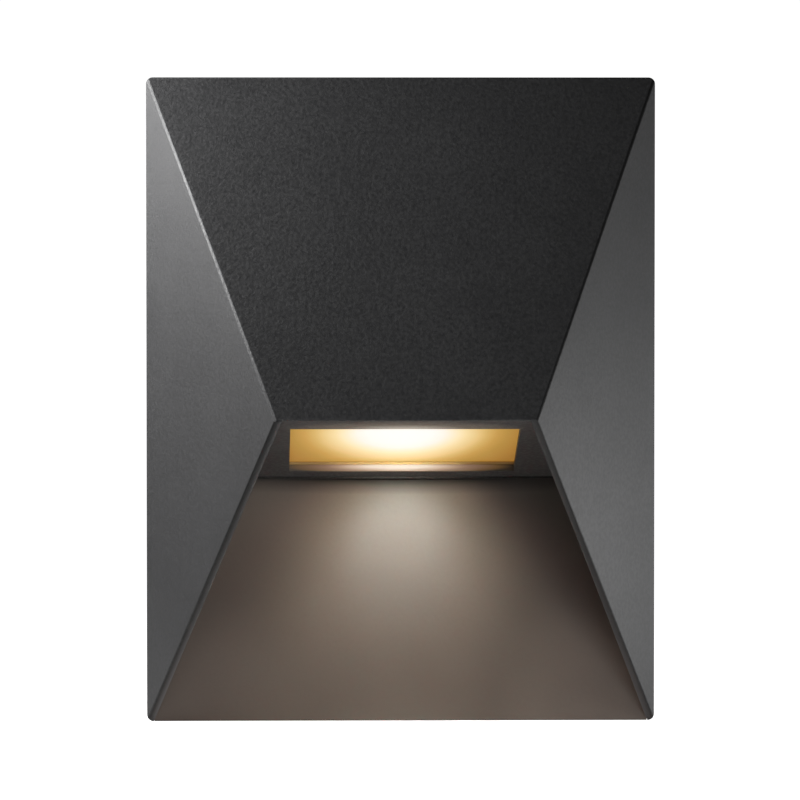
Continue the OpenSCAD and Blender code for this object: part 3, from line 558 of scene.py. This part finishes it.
# %% The lamp's envelope, and every CAD piece
envelope, tree, shader = new_material(
    "frosted_envelope", (0.8, 0.66, 0.45), 0.5, Emission_Color=(1.0, 0.7, 0.36, 1), Emission_Strength=0.5
)
bump(tree, shader, object_noise(tree, 3000), 0.00002)
finishes["frosted_envelope"] = envelope
slots = {row["node"]: row["material_slot"] for row in frame["record"]["subparts"]}
for name, node in nodes.items():
    if slots[name] in finishes:
        finish(node, finishes[slots[name]])
print("CAD nodes finished:", sum(slots[n] in finishes for n in nodes))

# %% [markdown]
# ## The plate's own edges
#
# The plate ends the light at the bottom, so its lower edge is part of the outline. In the CAD its two
# lower corners are rounded a little and leave a notch beside the wall ends. A new outline could be
# drawn, but it is simpler to draw each of these corners together to one point on a copy, which keeps
# every hole and boss of the construction. The long lower edge gets a small radius.

# %% The plate
PLATE_HALF, CORNER, LOW_RADIUS, CLOSE = 72.8, 1.0, 0.35, 0.01
plate_mesh = clean_copy("back_plate")
corners = [
    v for v in plate_mesh.verts
    if abs(v.co.x) > (PLATE_HALF - CORNER - CLOSE) * MM and v.co.z < (CORNER + CLOSE - HALF_HEIGHT) * MM
]
for vert in corners:
    vert.co.x = math.copysign(PLATE_HALF * MM, vert.co.x)
    vert.co.z = -HALF_HEIGHT * MM
bmesh.ops.remove_doubles(plate_mesh, verts=plate_mesh.verts, dist=SAME_POINT)
low_edge = sharp_edges(plate_mesh, lambda edge: all(
    v.co.z < (CLOSE - HALF_HEIGHT) * MM and v.co.y < (CLOSE - PLATE_FRONT) * MM for v in edge.verts
))
round_off(plate_mesh, low_edge, LOW_RADIUS * MM, 3)
plate = piece_from(plate_mesh, "cast_plate", plate_paint, "base", "back_plate")
print("corner points:", len(corners), "rounded edges:", len(low_edge), "faces:", len(plate.data.polygons))

# %% [markdown]
# ## Soft edges inside
#
# Moulded, pressed and fired pieces have no sharp edges either. Each of these is copied, and its longer
# edges are rounded by a few tenths of a millimetre. The short edges round holes stay as they are. Each
# row of the table gives the piece, its body, the radius and the shortest edge that is rounded.

# %% Round the pieces inside
inner_pieces = (
    ("terminal_block", "base", 0.4, 6), ("lampholder", "base", 0.3, 5),
    ("holder_contacts", "base", 0.08, 0.5), ("earth_lug", "base", 0.15, 2),
    ("shell_seal", "base", 0.25, 2), ("lamp_base", "lamp", 0.3, 3), ("led_board", "lamp", 0.12, 2),
    ("glass_retainer", "housing", 0.12, 4), ("glass_seal", "housing", 0.2, 4),
)
softened = []
for node, body, radius, shortest in inner_pieces:
    soft = clean_copy(node)
    long_edges = sharp_edges(soft, lambda edge: edge.calc_length() > shortest * MM, least=40)
    round_off(soft, long_edges, radius * MM, 3, clamp=False)
    softened.append(piece_from(soft, "soft_" + node, finishes[slots[node]], body, node))
print("softened:", {p.name: len(p.data.polygons) for p in softened})

# %% [markdown]
# ## Screws grown by Geometry Nodes
#
# Seventeen screws hold this light together, and two set screws lock it. They differ only in size, so
# one node tree makes them all. A flat grid is wrapped round the axis like paper round a pencil: its
# width becomes the angle, and its height runs from the tip to the top. A pair of curves gives the
# domed head, and a wave that climbs with the angle gives a true helical thread. A cross or a hexagon
# is cut out, and the finished screw is placed on every point that the tree receives.

# %% A tree with named sizes
def tree_with(name, sizes):
    """A node tree for geometry, with one named input for each size."""
    tree = bpy.data.node_groups.new(name, "GeometryNodeTree")
    face = tree.interface
    face.new_socket("Geometry", in_out="OUTPUT", socket_type="NodeSocketGeometry")
    face.new_socket("Geometry", in_out="INPUT", socket_type="NodeSocketGeometry")
    for label, kind in sizes:
        face.new_socket(label, in_out="INPUT", socket_type="NodeSocket" + kind)
    return tree, tree.nodes.new("NodeGroupInput"), tree.nodes.new("NodeGroupOutput")


def calc(tree, operation, a, b=None):
    """A math node from sockets or plain numbers."""
    node = add_node(tree, "ShaderNodeMath", operation=operation)
    for slot_number, value in enumerate((a, b)):
        if isinstance(value, bpy.types.NodeSocket):
            tree.links.new(value, node.inputs[slot_number])
        elif value is not None:
            node.inputs[slot_number].default_value = value
    return node.outputs[0]


# %% Curves and wrapped grids
WELD = 2e-6


def curve(tree, value, points):
    """A float curve with straight stretches."""
    node = tree.nodes.new("ShaderNodeFloatCurve")
    line = node.mapping.curves[0]
    while len(line.points) < len(points):
        line.points.new(0.5, 0.5)
    for point, place in zip(line.points, points):
        point.location = place
        point.handle_type = "VECTOR"
    node.mapping.update()
    tree.links.new(value, node.inputs["Value"])
    return node.outputs[0]


def wrapped_grid(tree, around, along, radius_of, height_of):
    """A grid wrapped round the axis into a closed skin, from functions for its radius and height."""
    grid = tree.nodes.new("GeometryNodeMeshGrid")
    sides = {"Size X": 1.0, "Size Y": 1.0, "Vertices X": around + 1, "Vertices Y": along}
    for label, value in sides.items():
        grid.inputs[label].default_value = value
    place = tree.nodes.new("GeometryNodeInputPosition")
    split = tree.nodes.new("ShaderNodeSeparateXYZ")
    tree.links.new(place.outputs[0], split.inputs[0])
    turn = calc(tree, "ADD", split.outputs["X"], 0.5)
    step = calc(tree, "ADD", split.outputs["Y"], 0.5)
    angle = calc(tree, "MULTIPLY", turn, 2 * math.pi)
    radius = radius_of(turn, step)
    join = tree.nodes.new("ShaderNodeCombineXYZ")
    tree.links.new(calc(tree, "MULTIPLY", radius, calc(tree, "COSINE", angle)), join.inputs["X"])
    tree.links.new(calc(tree, "MULTIPLY", radius, calc(tree, "SINE", angle)), join.inputs["Y"])
    tree.links.new(height_of(turn, step), join.inputs["Z"])
    move = tree.nodes.new("GeometryNodeSetPosition")
    tree.links.new(grid.outputs["Mesh"], move.inputs["Geometry"])
    tree.links.new(join.outputs[0], move.inputs["Position"])
    weld = tree.nodes.new("GeometryNodeMergeByDistance")
    weld.inputs["Distance"].default_value = WELD
    tree.links.new(move.outputs[0], weld.inputs["Geometry"])
    return weld.outputs[0]


# %% The tree's sizes, and the head
screw_tree, given, result = tree_with("machine_screw", (
    ("Axis", "Vector"), ("Head Radius", "Float"), ("Head Height", "Float"), ("Shank Radius", "Float"),
    ("Shank Length", "Float"), ("Turns", "Float"), ("Drive Reach", "Float"), ("Drive Width", "Float"),
    ("Drive Depth", "Float"), ("Hexagon", "Bool"), ("Material", "Material"),
))
size = given.outputs
HEAD_GRID, SHANK_GRID = (40, 21), (24, 110)
HEAD_OUT = ((0, 0), (0.2, 0.97), (0.3, 1), (0.5, 1), (0.65, 0.93), (0.8, 0.72), (1, 0))
HEAD_UP = ((0, 0), (0.2, 0), (0.3, 0.06), (0.5, 0.5), (0.65, 0.78), (0.8, 0.94), (1, 1))
head = wrapped_grid(
    screw_tree, *HEAD_GRID,
    lambda turn, step: calc(screw_tree, "MULTIPLY", curve(screw_tree, step, HEAD_OUT), size["Head Radius"]),
    lambda turn, step: calc(screw_tree, "MULTIPLY", curve(screw_tree, step, HEAD_UP), size["Head Height"]),
)

# %% [markdown]
# The thread's depth follows a triangle wave over the height. Taking the turn away from the wave's
# argument makes it climb by one pitch in each turn, which is what a helix is. Two ramps close the
# shank: a short cone at the tip, and a flat end just inside the head.

# %% The thread
THREAD_DEPTH, TIP_TAPER, HEAD_TAPER, TOP_STEP = 0.14, 14.0, 400.0, 0.998


def thread_radius(turn, step):
    """The shank's radius at a turn and a height, with the thread cut in."""
    wave = calc(screw_tree, "PINGPONG", calc(
        screw_tree, "SUBTRACT", calc(screw_tree, "MULTIPLY", step, size["Turns"]), turn
    ), 0.5)
    cut_in = calc(screw_tree, "MULTIPLY", wave, 2 * THREAD_DEPTH)
    ends = calc(screw_tree, "MINIMUM", calc(screw_tree, "MULTIPLY", step, TIP_TAPER), calc(
        screw_tree, "MULTIPLY", calc(screw_tree, "SUBTRACT", 1.0, step), HEAD_TAPER
    ))
    full = calc(screw_tree, "SUBTRACT", calc(screw_tree, "MINIMUM", ends, 1.0), cut_in)
    return calc(screw_tree, "MULTIPLY", calc(screw_tree, "MAXIMUM", full, 0.0), size["Shank Radius"])


shank = wrapped_grid(
    screw_tree, *SHANK_GRID, thread_radius,
    lambda turn, step: calc(
        screw_tree, "MULTIPLY", calc(screw_tree, "SUBTRACT", step, TOP_STEP), size["Shank Length"]
    ),
)


# %% The drive
def drive_bar(across, along):
    """One bar of the cross that is cut into the head."""
    bar = screw_tree.nodes.new("GeometryNodeMeshCube")
    join = screw_tree.nodes.new("ShaderNodeCombineXYZ")
    height = calc(screw_tree, "MULTIPLY", size["Drive Depth"], 2.0)
    for label, value in (("X", along), ("Y", across), ("Z", height)):
        screw_tree.links.new(value, join.inputs[label])
    screw_tree.links.new(join.outputs[0], bar.inputs["Size"])
    return bar.outputs["Mesh"]


hexagon = screw_tree.nodes.new("GeometryNodeMeshCylinder")
hexagon.inputs["Vertices"].default_value = 6
screw_tree.links.new(size["Drive Reach"], hexagon.inputs["Radius"])
screw_tree.links.new(calc(screw_tree, "MULTIPLY", size["Drive Depth"], 2.0), hexagon.inputs["Depth"])
cross = screw_tree.nodes.new("GeometryNodeMeshBoolean")
cross.operation, cross.solver = "UNION", "EXACT"
reach, width = size["Drive Reach"], size["Drive Width"]
for bar in (drive_bar(width, reach), drive_bar(reach, width)):
    screw_tree.links.new(bar, cross.inputs["Mesh 2"])
chosen = add_node(screw_tree, "GeometryNodeSwitch", input_type="GEOMETRY")
screw_tree.links.new(size["Hexagon"], chosen.inputs["Switch"])
screw_tree.links.new(cross.outputs[0], chosen.inputs["False"])
screw_tree.links.new(hexagon.outputs["Mesh"], chosen.inputs["True"])
raised = screw_tree.nodes.new("GeometryNodeTransform")
lift = screw_tree.nodes.new("ShaderNodeCombineXYZ")
screw_tree.links.new(size["Head Height"], lift.inputs["Z"])
screw_tree.links.new(lift.outputs[0], raised.inputs["Translation"])
screw_tree.links.new(chosen.outputs[0], raised.inputs["Geometry"])

# %% Carve, join and place
whole = screw_tree.nodes.new("GeometryNodeJoinGeometry")
for part in (head, shank):
    carved = screw_tree.nodes.new("GeometryNodeMeshBoolean")
    carved.operation, carved.solver = "DIFFERENCE", "EXACT"
    screw_tree.links.new(part, carved.inputs["Mesh 1"])
    screw_tree.links.new(raised.outputs[0], carved.inputs["Mesh 2"])
    screw_tree.links.new(carved.outputs[0], whole.inputs[0])
stand = screw_tree.nodes.new("FunctionNodeAlignRotationToVector")
stand.axis = "Z"
screw_tree.links.new(size["Axis"], stand.inputs["Vector"])
placed = screw_tree.nodes.new("GeometryNodeInstanceOnPoints")
screw_tree.links.new(size["Geometry"], placed.inputs["Points"])
screw_tree.links.new(whole.outputs[0], placed.inputs["Instance"])
screw_tree.links.new(stand.outputs[0], placed.inputs["Rotation"])
real = screw_tree.nodes.new("GeometryNodeRealizeInstances")
dressed = screw_tree.nodes.new("GeometryNodeSetMaterial")
screw_tree.links.new(placed.outputs[0], real.inputs[0])
screw_tree.links.new(real.outputs[0], dressed.inputs["Geometry"])
screw_tree.links.new(size["Material"], dressed.inputs["Material"])
screw_tree.links.new(dressed.outputs[0], result.inputs[0])
print("screw tree nodes:", len(screw_tree.nodes))

# %% [markdown]
# The sizes come from the construction, so that a screw of another length there gets a thread of that
# length here. Each node holds several screws in one mesh: the points that edges join make one screw,
# and their distances along and from the axis give its seat, its head and its shank.

# %% Measure the screws of the construction
NEARLY, TIP_HEIGHT = 0.98, 1e-5


def measure_screws(node, axis):
    """Seats and sizes of a node's screws, read from their solids along one axis."""
    mesh = bmesh.new()
    mesh.from_mesh(nodes[node].data)
    bmesh.ops.remove_doubles(mesh, verts=mesh.verts, dist=SAME_POINT)
    side = axis.orthogonal().normalized()
    other = axis.cross(side)
    left_over, seats = set(mesh.verts), []
    while left_over:
        group, to_visit = set(), [left_over.pop()]
        while to_visit:
            vert = to_visit.pop()
            group.add(vert)
            near = {e.other_vert(vert) for e in vert.link_edges} & left_over
            left_over -= near
            to_visit.extend(near)
        spans = [[v.co.dot(way) for v in group] for way in (side, other, axis)]
        middle = [(min(span) + max(span)) / 2 for span in spans[:2]]
        out = [math.hypot(v.co.dot(side) - middle[0], v.co.dot(other) - middle[1]) for v in group]
        head_r, low, top = max(out), min(spans[2]), max(spans[2])
        under = min(h for h, r in zip(spans[2], out) if r > NEARLY * head_r)
        shank_r = max(r for h, r in zip(spans[2], out) if h < low + TIP_HEIGHT)
        seats.append((middle[0] * side + middle[1] * other, low, under, top, head_r, shank_r))
    mesh.free()
    return sorted(seats, key=lambda seat: tuple(seat[0]))


# %% Grow a node's screws
PITCH, SMOOTH_UNDER = 0.4, 38


def grow_screws(name, node, axis, body, mat, drive, plain_head=None):
    """Replaces a node's screws by grown ones of the same sizes."""
    seats = measure_screws(node, axis)
    low, under, top, head_r, shank_r = seats[0][1:]
    head_h = plain_head or top - under
    points = bpy.data.meshes.new(name + "_seats")
    points.from_pydata([seat[0] + (seat[3] - head_h) * axis for seat in seats], [], [])
    grower = bpy.data.objects.new(name + "_grower", points)
    bpy.context.scene.collection.objects.link(grower)
    modifier = grower.modifiers.new("screws", "NODES")
    modifier.node_group = screw_tree
    length = top - head_h - low
    turns = float(round(length / (PITCH * shank_r)))
    reach, width, depth, hexed = drive
    values = {
        "Axis": axis, "Head Radius": head_r, "Head Height": head_h, "Shank Radius": shank_r,
        "Shank Length": length, "Turns": turns, "Drive Reach": reach * head_r,
        "Drive Width": width * head_r, "Drive Depth": depth * head_h, "Hexagon": hexed, "Material": mat,
    }
    for item in screw_tree.interface.items_tree:
        if item.in_out == "INPUT" and item.name in values:
            modifier[item.identifier] = values[item.name]
    seen = grower.evaluated_get(bpy.context.evaluated_depsgraph_get())
    data = bpy.data.meshes.new_from_object(seen)
    data.name = name
    data.shade_smooth()
    data.set_sharp_from_angle(angle=math.radians(SMOOTH_UNDER))
    bpy.data.objects.remove(grower)
    piece = bpy.data.objects.new(name, data)
    bpy.context.scene.collection.objects.link(piece)
    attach(piece, body)
    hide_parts(node)
    shank_size = [round(v / MM, 1) for v in (2 * shank_r, length)]
    print(name, len(seats), "screws,", len(data.polygons), "faces, shank", shank_size)


# %% Grow them
FRONT = Vector((0, -1, 0))
INTO_PANEL = -panel_down
LAMP_AXIS = Vector((0, -math.sin(face_angle), -math.cos(face_angle)))
TO_THE_LEFT, TO_THE_RIGHT = Vector((-1, 0, 0)), Vector((1, 0, 0))
CROSS, HEX = (1.2, 0.22, 0.6, False), (0.58, 0.1, 4.0, True)
SET_SCREW_RIM = 0.5
screw_sets = (
    ("frame_screws", "retainer_screws", INTO_PANEL, "housing"),
    ("arm_screws", "bracket_screws", FRONT, "base"),
    ("socket_screws", "holder_screws", LAMP_AXIS, "base"),
    ("block_fixings", "terminal_block_screws", FRONT, "base"),
    ("clamp_screws", "terminal_screws", FRONT, "base"),
    ("ground_screw", "earth_screw", FRONT, "base"),
)
set_screws = (
    ("left_set_screw", "left_lock_screw", TO_THE_LEFT, "left_screw"),
    ("right_set_screw", "right_lock_screw", TO_THE_RIGHT, "right_screw"),
)
for name, node, axis, body in screw_sets:
    grow_screws(name, node, axis, body, finishes["zinc_steel"], CROSS)
for name, node, axis, body in set_screws:
    grow_screws(name, node, axis, body, finishes["black_steel"], HEX, SET_SCREW_RIM * MM)
print("screw sets:", len(screw_sets) + len(set_screws))

# %% [markdown]
# ## The light on the plate
#
# Light from the lamp leaves the window as a soft cone and draws a scallop on the plate. A spot light
# just under the pane, aimed back and down, gives the same cone, and weaker and wider ones fill the rest.
# Two narrow ones widen the top of the scallop. The pane is about half as wide as the plate, so its two
# ends also reach the plate's sides and lower corners. Each row gives the place, in millimetres back
# from the ridge, below the panel and to the side, the point on the plate that it is aimed at, the
# cone's angle, the power and the tint.

# %% Aimed lights
def aim(obj, target):
    """Turns a light or the camera towards a point."""
    obj.rotation_euler = (Vector(target) - obj.location).to_track_quat("-Z", "Y").to_euler()


def add_light(name, kind, at, target, energy, color=(1, 1, 1), **values):
    """Adds a light at a place, aimed at a target."""
    data = bpy.data.lights.new(name, kind)
    data.energy = energy
    data.color = color
    for key, value in values.items():
        setattr(data, key, value)
    light = bpy.data.objects.new(name, data)
    bpy.context.scene.collection.objects.link(light)
    light.location = at
    aim(light, target)


# %% Beams under the pane
SOFT_SOURCE = 4
beams = (
    ("front_beam", (14, 1.5, 0), (0, -43), 40, 0.235, (0.506, 0.836, 1.0)),
    ("front_low_beam", (14, 1.5, 0), (0, -62), 60, 0.29, (1.0, 0.817, 0.861)),
    ("front_wide_beam", (14, 1.5, 0), (0, -48), 75, 0.22, (0.9, 1.0, 0.78)),
    ("middle_beam", (28, 3, 0), (0, -62), 90, 0.225, (0.83, 1.0, 0.8)),
    ("ember_beam", (26, 3, 0), (0, -68), 110, 0.085, (1.0, 0.0, 0.0)),
    ("left_top_beam", (14, 1.5, 0), (-19, -30), 30, 0.075, (1.0, 0.75, 0.54)),
    ("right_top_beam", (14, 1.5, 0), (14, -29), 26, 0.035, (1.0, 0.75, 0.54)),
    ("left_end_beam", (20, 3, -25), (-44, -50), 66, 0.065, (1.0, 0.84, 0.72)),
    ("left_corner_beam", (20, 3, -25), (-60, -112), 37, 0.2, (1.0, 0.9, 0.85)),
    ("right_corner_beam", (20, 3, 25), (60, -112), 37, 0.32, (1.0, 0.9, 0.85)),
)
for name, place, (aim_x, aim_z), cone, watts, tint in beams:
    target = (aim_x * MM, -PLATE_FRONT * MM, aim_z * MM)
    add_light(
        name, "SPOT", on_panel(*place), target, watts, tint,
        spot_size=math.radians(cone), spot_blend=1.0, shadow_soft_size=SOFT_SOURCE * MM,
    )
print("beams under the pane:", len(beams))

# %% [markdown]
# ## The studio
#
# A white table before a white wall, as in a catalogue picture. Both glow fully white for the camera
# but light the object only weakly, because a dark casting in a bright white room would look grey. A
# switch on the kind of ray does that: the camera's rays see one strength, and all others a tenth.

# %% Table
FILL, TABLE_SIZE, BELOW_THE_LIGHT = 0.1, 6, 0.2
floor_mat, tree, shader = new_material(
    "white_table", (0.85, 0.85, 0.85), 0.8, Emission_Color=(1, 1, 1, 1), Emission_Strength=FILL
)
path = add_node(tree, "ShaderNodeLightPath")
tree.links.new(
    spread(tree, path.outputs["Is Camera Ray"], FILL, 1.0, 0.0, 1.0), shader.inputs["Emission Strength"]
)
floor_mesh = bmesh.new()
bmesh.ops.create_grid(floor_mesh, x_segments=8, y_segments=8, size=TABLE_SIZE)
bmesh.ops.translate(floor_mesh, verts=floor_mesh.verts, vec=(0, 0, -(HALF_HEIGHT + BELOW_THE_LIGHT) * MM))
floor_data = bpy.data.meshes.new("floor")
floor_mesh.to_mesh(floor_data)
floor_mesh.free()
floor = bpy.data.objects.new("floor", floor_data)
bpy.context.scene.collection.objects.link(floor)
finish(floor, floor_mat)
print("table:", 2 * TABLE_SIZE, "m wide")

# %% White background
SEEN_WHITE = 1.05
world = bpy.data.worlds.new("white_studio")
bpy.context.scene.world = world
world.use_nodes = True
background = world.node_tree.nodes["Background"]
background.inputs["Color"].default_value = (1, 1, 1, 1)
background.inputs["Strength"].default_value = FILL
seen = add_node(world.node_tree, "ShaderNodeBackground", Color=(1, 1, 1, 1), Strength=SEEN_WHITE)
path = add_node(world.node_tree, "ShaderNodeLightPath")
mix = add_node(world.node_tree, "ShaderNodeMixShader")
out = world.node_tree.nodes["World Output"]
world.node_tree.links.new(path.outputs["Is Camera Ray"], mix.inputs[0])
world.node_tree.links.new(background.outputs[0], mix.inputs[1])
world.node_tree.links.new(seen.outputs[0], mix.inputs[2])
world.node_tree.links.new(mix.outputs[0], out.inputs["Surface"])
print("background:", SEEN_WHITE, "for the camera,", FILL, "for the object")

# %% [markdown]
# The faces of the roof slope in different directions, so soft boxes high on the left and low on the
# right paint them with opposite gradients. A box close by falls off quickly over a face and gives a
# steep gradient, and a box far away a level tone. Each row gives the place and the aim in metres, the
# width, the height and the power.

# %% Soft boxes
LEFT_AIM, MIDDLE_AIM, RIGHT_AIM = (-0.05, -0.03, 0.05), (0, -0.03, 0.05), (0.05, -0.03, -0.05)
BACK_AIM, TABLE_AIM = (0, -0.03, 0), (0, 0, -0.04)
boxes = (
    ("left_high", (-0.15, -0.02, 0.15), MIDDLE_AIM, 0.10, 0.10, 0.31),
    ("left_high_near", (-0.15, -0.08, 0.15), MIDDLE_AIM, 0.10, 0.10, 0.0737),
    ("left_side", (-0.22, -0.03, 0.10), LEFT_AIM, 0.10, 0.10, 0.365),
    ("left_behind", (-0.68, 0.29, 0.27), BACK_AIM, 0.35, 0.35, 1.065),
    ("right_behind", (0.72, 0.31, -0.07), BACK_AIM, 0.35, 0.35, 0.271),
    ("right_side_far", (0.30, 0.06, -0.05), RIGHT_AIM, 0.08, 0.08, 0.0554),
    ("right_table_near", (0.20, -0.06, -0.065), RIGHT_AIM, 0.05, 0.05, 0.145),
    ("right_table_middle", (0.30, -0.45, -0.065), RIGHT_AIM, 0.20, 0.05, 0.336),
    ("right_table_far", (0.30, -0.80, -0.06), TABLE_AIM, 0.45, 0.06, 0.992),
)
for name, at, target, width, height, watts in boxes:
    add_light(name, "AREA", at, target, watts, shape="ELLIPSE", size=width, size_y=height)
print("soft boxes:", len(boxes))

# %% [markdown]
# ## The camera
#
# The photograph is taken from far away with a long lens, two degrees from the left and a little from
# above, so the outline stays almost a true rectangle. The view transform is the plain one, because a
# filmic curve would turn the white background grey.

# %% Place the camera
AZIMUTH, ELEVATION, DISTANCE = math.radians(-1.45), math.radians(2.35), 1.8445
SENSOR, LENS, AIM_X, AIM_Z = 36, 280, -0.03, -0.44
camera_data = bpy.data.cameras.new("camera")
camera_data.sensor_width, camera_data.lens = SENSOR, LENS
camera_data.clip_start, camera_data.clip_end = 0.01, 30
camera = bpy.data.objects.new("camera", camera_data)
bpy.context.scene.collection.objects.link(camera)
bpy.context.scene.camera = camera
target = Vector((AIM_X * MM, 0, AIM_Z * MM))
camera.location = target + DISTANCE * Vector((
    math.sin(AZIMUTH) * math.cos(ELEVATION), -math.cos(AZIMUTH) * math.cos(ELEVATION), math.sin(ELEVATION),
))
aim(camera, target)
bpy.context.scene.view_settings.view_transform = "Standard"
print("camera at", [round(v, 3) for v in camera.location], "m")
